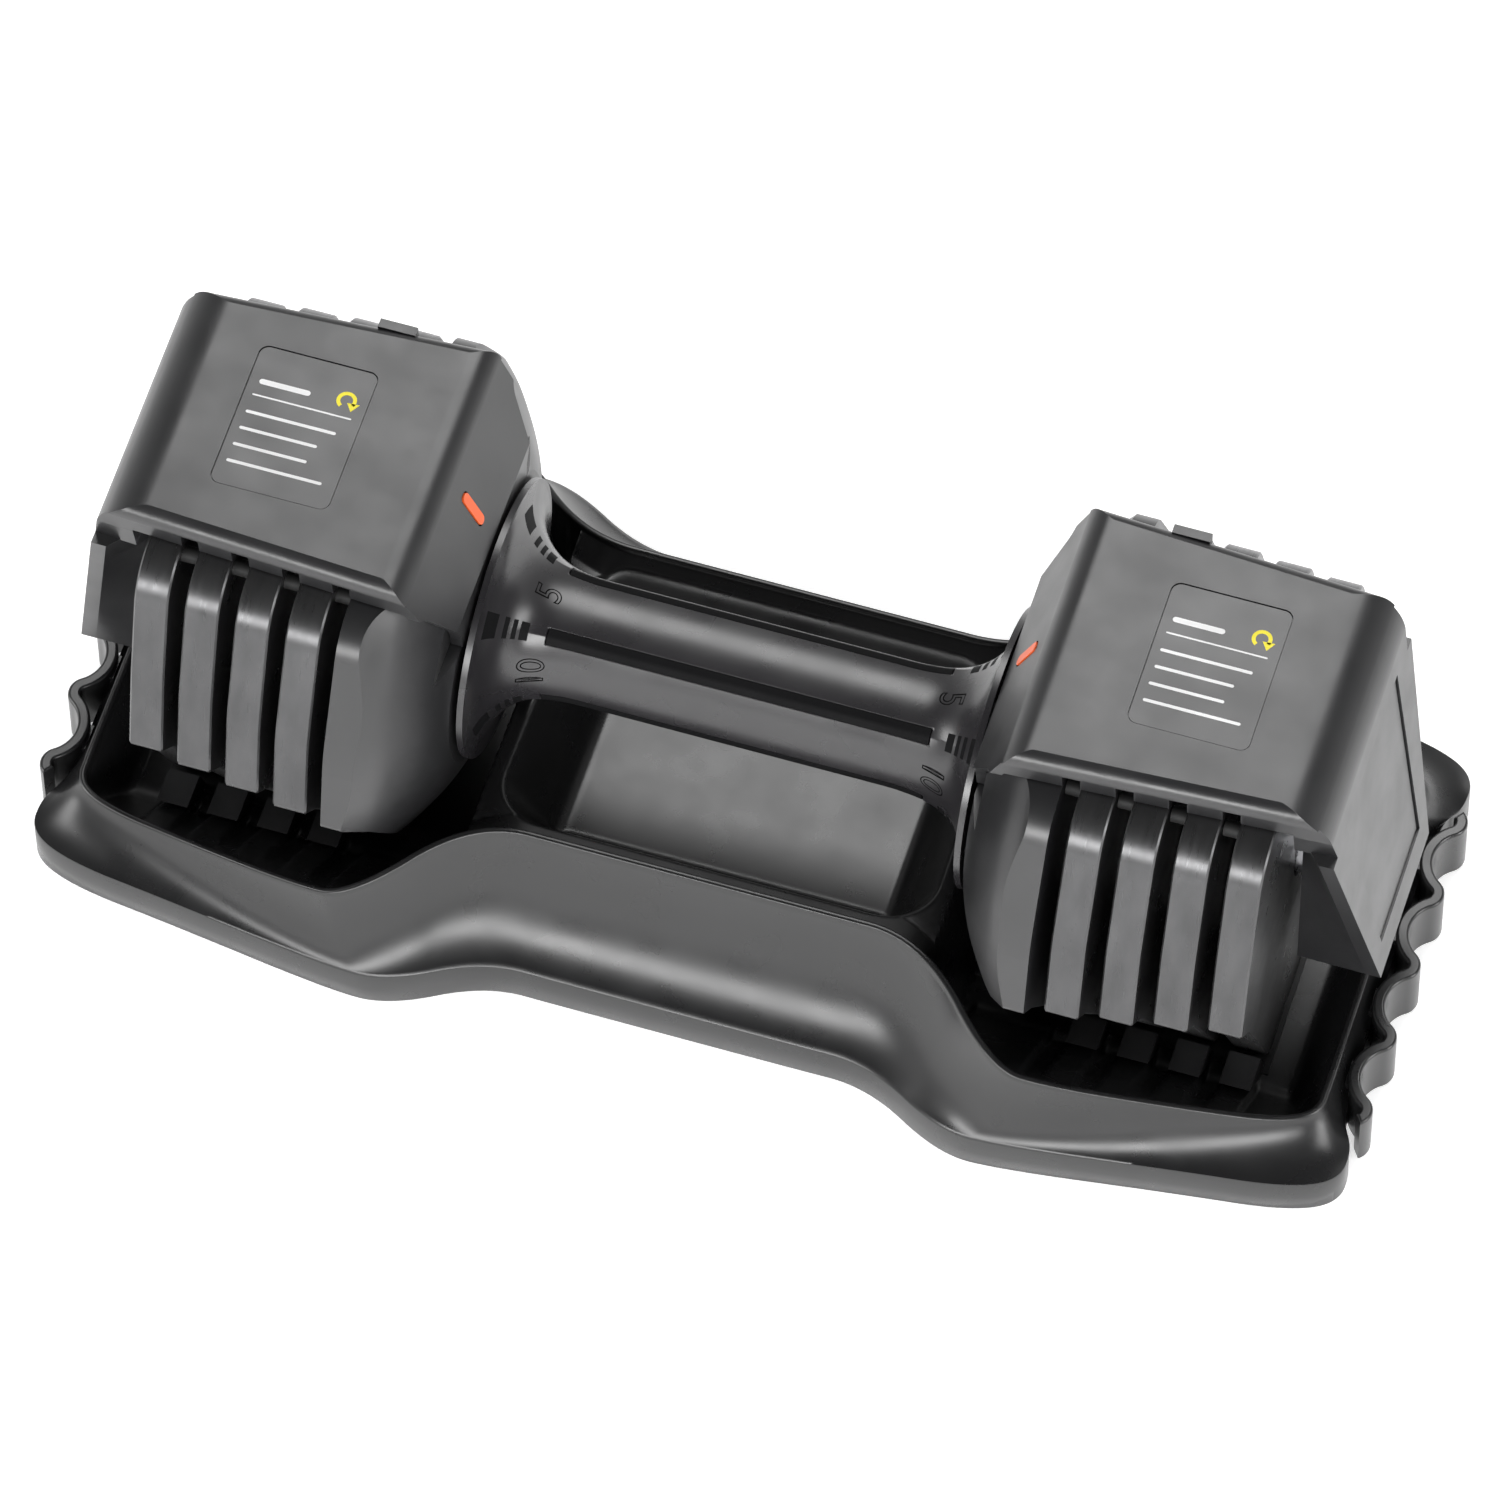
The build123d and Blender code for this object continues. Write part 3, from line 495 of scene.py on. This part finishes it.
def grip():
    """The grip's skin, with its end faces drawn in to the tube inside it."""
    flare_steps = int((GRIP_END_X - FLARE_START_X) / FLARE_STEP) + 1
    half = [STRAIGHT_STEP * i for i in range(int(FLARE_START_X / STRAIGHT_STEP))]
    half += [FLARE_START_X + FLARE_STEP * i for i in range(flare_steps)]
    half = [x for x in half if x < GRIP_END_X - END_CLEARANCE] + [GRIP_END_X]
    stations = [-x for x in reversed(half[1:])] + half
    rows = [bore_row(stations[0])] + [grip_row(x) for x in stations] + [bore_row(stations[-1])]
    verts = [v for row in rows for v in row]
    faces = ring_faces(len(rows), GRIP_COLUMNS)
    piece = make_piece("grip_body", verts, faces, "handle", "grip_plastic", sharp_deg=40)
    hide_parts("grip")


def strip_section(x, seam, lift):
    """Closed section of a strip: an arc over the skin and two corners buried under it."""
    ring = []
    for k in range(STRIP_ACROSS + 1):
        theta = seam + mix(-STRIP_HALF_ANGLE, STRIP_HALF_ANGLE, k / STRIP_ACROSS)
        ring.append(grip_point(x, theta, grip_radius(x, theta) + lift))
    root = grip_radius(x, seam) - STRIP_ROOT
    ring.append(grip_point(x, seam + STRIP_HALF_ANGLE, root))
    ring.append(grip_point(x, seam - STRIP_HALF_ANGLE, root))
    return ring


def grip_strips():
    """Five dark strips on the seams between facets, with small separate teeth past their ends."""
    strip = [-STRIP_HALF_X, -STRIP_HALF_X + 1] + [i * STRIP_STEP for i in range(-13, 14)]
    strip += [STRIP_HALF_X - 1, STRIP_HALF_X]
    teeth = [[end * (STRIP_HALF_X + start + width * j / 3) for j in range(4)]
             for end in (-1, 1) for start, width in TEETH]
    spans = [(strip, STRIP_LIFT)] + [(tooth, TOOTH_LIFT) for tooth in teeth]
    size = STRIP_ACROSS + 3
    verts, faces = [], []
    for f in range(FACETS):
        seam = math.pi / 2 + FACET_STEP * (f + 0.5)
        for span, lift in spans:
            first = len(verts)
            for x in span:
                verts += strip_section(x, seam, lift)
            last = len(verts) - size
            faces += [tuple(first + i for i in face) for face in ring_faces(len(span), size)]
            faces.append(tuple(first + c for c in range(size)))
            faces.append(tuple(last + c for c in reversed(range(size))))
    piece = make_piece("grip_inlays", verts, faces, "handle", "strip_plastic", sharp_deg=40)
    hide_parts("grip_strips")


def outlined_text(name, text):
    """Mesh of a text's outline, drawn flat with a round pen."""
    curve = bpy.data.curves.new(name, "FONT")
    curve.body = text
    curve.align_x = "CENTER"
    curve.align_y = "CENTER"
    curve.size = NUMBER_SIZE
    curve.fill_mode = "NONE"
    curve.bevel_depth = NUMBER_PEN
    curve.bevel_resolution = 1
    holder = bpy.data.objects.new(f"source_{name}", curve)
    bpy.context.scene.collection.objects.link(holder)
    bpy.context.view_layer.update()
    graph = bpy.context.evaluated_depsgraph_get()
    mesh = bpy.data.meshes.new_from_object(holder.evaluated_get(graph))
    bpy.data.objects.remove(holder)
    return mesh


def dial_numbers():
    """Outlined settings round both ends of the grip, bent to its flare, tops towards the heads; their
    near-black outlines are painted shade standing in for engraved number grooves.
    """
    for side_name, side in SIDES.items():
        for i in range(FACETS):
            text = str(SETTING_STEP * (i + 1))
            name = f"number_{side_name}_{text}"
            mesh = outlined_text(name, text)
            facet = math.pi / 2 + FACET_STEP * i
            verts = []
            for v in mesh.vertices:
                x = side * (NUMBER_X + v.co.y)
                theta = facet + side * v.co.x / flare_radius(NUMBER_X)
                radius = grip_radius(x, theta) + v.co.z * NUMBER_FLATTEN - NUMBER_SINK
                verts.append(grip_point(x, theta, radius))
            faces = [tuple(p.vertices) for p in mesh.polygons]
            # the number outlines carry painted shade, near-black, in place of engraved grooves
            make_piece(name, verts, faces, "handle", "grip_plastic", "number_groove_shade")


# ---- labels -------------------------------------------------------------------------------
# In metres; places on a label are written as millimetres times MM.
PRINT_THICK = 0.06 * MM
TEXT_BAR_SHARES = (0.93, 0.80, 0.76, 0.98)
ARROW_START, ARROW_END = -30, 240
ARROW_HEAD = ((-1.7, 0.5), (0.1, -2.1), (1.9, 0.7))


def flat_print(name, outline, z, material):
    """Thin printed shape: a polygon lying on the height z."""
    count = len(outline)
    verts = [(x, y, z) for x, y in outline] + [(x, y, z + PRINT_THICK) for x, y in outline]
    faces = [tuple(reversed(range(count))), tuple(range(count, 2 * count))]
    faces += [(i, (i + 1) % count, (i + 1) % count + count, i + count) for i in range(count)]
    make_piece(name, verts, faces, "frame", "label_film", material)


def arc_points(x, y, r, degrees):
    """Points on a circle about x, y at the given angles."""
    return [(x + r * math.cos(math.radians(d)), y + r * math.sin(math.radians(d))) for d in degrees]


def bar_outline(x0, y0, length, width):
    """Bar that reads along +X from x0, centred on y0, with round ends."""
    r = width / 2
    return (arc_points(x0 + length - r, y0, r, range(-90, 91, 30))
            + arc_points(x0 + r, y0, r, range(90, 271, 30)))


def label_print():
    """Plain pictogram on each label: bars in place of wording, a rule, and a turn arrow."""
    for name in SIDES:
        lo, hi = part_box(f"label_plate_{name}")
        left, top, width, z = lo.x + 2.4 * MM, hi.y, hi.x - lo.x, hi.z
        title = bar_outline(left + 0.5 * MM, top - 11.5 * MM, 15 * MM, 1.7 * MM)
        flat_print(f"label_title_{name}", title, z, "print_white")
        rule = bar_outline(left, top - 16.2 * MM, width - 5.4 * MM, 0.5 * MM)
        flat_print(f"label_rule_{name}", rule, z, "print_white")
        for i, share in enumerate(TEXT_BAR_SHARES):
            bar = bar_outline(left, top - (22.0 + 5.6 * i) * MM, (width - 6 * MM) * share, 0.95 * MM)
            flat_print(f"label_bar_{name}_{i + 1}", bar, z, "print_white")
        cx, cy, r = hi.x - 6.2 * MM, top - 10.6 * MM, 2.9 * MM
        sweep = range(ARROW_START, ARROW_END + 1, 15)
        arc = arc_points(cx, cy, r, sweep) + arc_points(cx, cy, r - 1.1 * MM, reversed(sweep))
        flat_print(f"label_arrow_arc_{name}", arc, z, "print_yellow")
        tip_x, tip_y = arc_points(cx, cy, r - 0.5 * MM, [ARROW_START])[0]
        head = [(tip_x + dx * MM, tip_y + dy * MM) for dx, dy in ARROW_HEAD]
        flat_print(f"label_arrow_head_{name}", head, z, "print_yellow")


# ---- floor, light, camera -----------------------------------------------------------------

WORLD_STRENGTH = 0.8
WORLD_GREYS = ((0.0, 1), (0.3, 0.55), (0.8, 0.06))     # height over the horizon, brightness
FLOOR_HALF = 4.0
FLOOR_GLOW = 0.55
LIGHT_TARGET = (0, 0, 0.07)
# Each softbox's place, size and power.
SOFTBOXES = {
    "front_strip": ((0.1, -1.1, 0.5), (1.6, 0.3), 14),
    "back_top": ((0.0, 0.75, 1.2), (1.2, 0.5), 9),
    "left_fill": ((-1.2, -0.3, 0.7), (0.4, 1.0), 7),
    "right_fill": ((1.2, -0.2, 0.6), (0.4, 1.0), 7),
}


def world_gradient():
    """Dim overhead and bright round the horizon, as in a white cove studio."""
    world = bpy.data.worlds.new("studio")
    bpy.context.scene.world = world
    world.use_nodes = True
    tree = world.node_tree
    where = tree.nodes.new("ShaderNodeTexCoord")
    split = tree.nodes.new("ShaderNodeSeparateXYZ")
    ramp = tree.nodes.new("ShaderNodeValToRGB")
    stops = ramp.color_ramp.elements
    stops.new(WORLD_GREYS[1][0])
    for stop, (height, grey) in zip(stops, WORLD_GREYS):
        stop.position = height
        stop.color = (grey, grey, grey, 1)
    tree.links.new(where.outputs["Generated"], split.inputs["Vector"])
    tree.links.new(split.outputs["Z"], ramp.inputs["Fac"])
    tree.links.new(ramp.outputs["Color"], tree.nodes["Background"].inputs["Color"])
    tree.nodes["Background"].inputs["Strength"].default_value = WORLD_STRENGTH


def softbox(name, place, size, power):
    """Area light aimed at the dumbbell and hidden from the camera."""
    data = bpy.data.lights.new(name, "AREA")
    data.shape = "RECTANGLE"
    data.size, data.size_y = size
    data.energy = power
    lamp = bpy.data.objects.new(name, data)
    lamp.location = place
    lamp.rotation_euler = (Vector(LIGHT_TARGET) - Vector(place)).to_track_quat("-Z", "Y").to_euler()
    lamp.visible_camera = False
    bpy.context.scene.collection.objects.link(lamp)


def white_floor():
    """Large floor that glows a little, so that it stays white under the object."""
    mesh = bpy.data.meshes.new("floor")
    corners = [(x * FLOOR_HALF, y * FLOOR_HALF, 0) for x, y in ((-1, -1), (1, -1), (1, 1), (-1, 1))]
    mesh.from_pydata(corners, [], [(0, 1, 2, 3)])
    floor = bpy.data.objects.new("floor", mesh)
    bpy.context.scene.collection.objects.link(floor)
    white = new_material("floor_white", (0.9, 0.9, 0.9), roughness=0.9, specular=0.0)
    shader = white.node_tree.nodes["Principled BSDF"]
    shader.inputs["Emission Color"].default_value = (1, 1, 1, 1)
    shader.inputs["Emission Strength"].default_value = FLOOR_GLOW
    mesh.materials.append(white)


def studio():
    white_floor()
    world_gradient()
    for name, values in SOFTBOXES.items():
        softbox(name, *values)


def camera():
    """Long lens from the front right, high up, with a slight roll."""
    azimuth, elevation, roll = (math.radians(a) for a in (18.194, 58.708, -0.907))
    distance = 3.494289
    target = Vector((0.002621, -0.009563, 0.060))
    level = math.cos(elevation)
    back = Vector((math.sin(azimuth) * level, -math.cos(azimuth) * level, math.sin(elevation)))
    level_right = Vector((math.cos(azimuth), math.sin(azimuth), 0))
    level_up = back.cross(level_right)
    right = math.cos(roll) * level_right + math.sin(roll) * level_up
    up = -math.sin(roll) * level_right + math.cos(roll) * level_up
    data = bpy.data.cameras.new("camera")
    data.sensor_width = 36.0
    data.lens = 297.6
    data.clip_end = 50
    eye = bpy.data.objects.new("camera", data)
    axes = Matrix((right, up, back)).transposed().to_4x4()
    eye.matrix_world = Matrix.Translation(target + back * distance) @ axes
    bpy.context.scene.collection.objects.link(eye)
    bpy.context.scene.camera = eye


finish_cad_nodes()
tray()
grip()
grip_strips()
dial_numbers()
label_print()
studio()
camera()

bpy.context.scene.view_settings.view_transform = "Standard"
